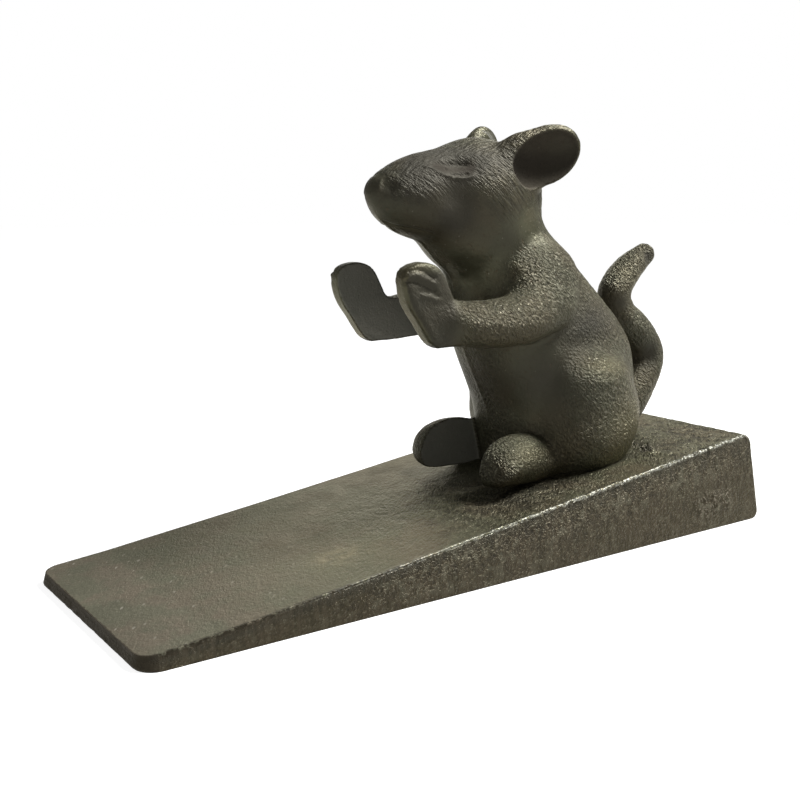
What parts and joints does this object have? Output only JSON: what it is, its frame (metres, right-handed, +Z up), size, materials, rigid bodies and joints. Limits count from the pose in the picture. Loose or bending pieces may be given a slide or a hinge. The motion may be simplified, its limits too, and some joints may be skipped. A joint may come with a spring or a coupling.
{
  "type": "doorstop",
  "caption": "Cast iron wedge doorstop with a seated mouse on its thick end, paws raised toward the thin tip and a tail rising behind.",
  "frame": {"origin": "bottom centre of the bounding box, on the floor plane", "axes": "+X along the wedge toward its thick end, +Y across it toward the mouse's right side, +Z up"},
  "size_m": [0.1497, 0.0588, 0.0879],
  "materials": {
    "wedge_iron": "sandy as-cast iron, dark olive-brown, satin",
    "figure_iron": "dark olive-brown cast iron with fine strokes of fur, satin",
    "screw_steel": "plain turned steel, dulled",
    "washer_zinc": "zinc plated, dull"
  },
  "bodies": {
    "root": {"wedge_base": "wedge_iron", "mouse_left_half": "figure_iron", "mouse_right_half": "figure_iron", "cross_screw": "screw_steel", "base_screw_left": "screw_steel", "base_screw_right": "screw_steel", "base_washer_left": "washer_zinc", "base_washer_right": "washer_zinc"}
  },
  "joints": []
}
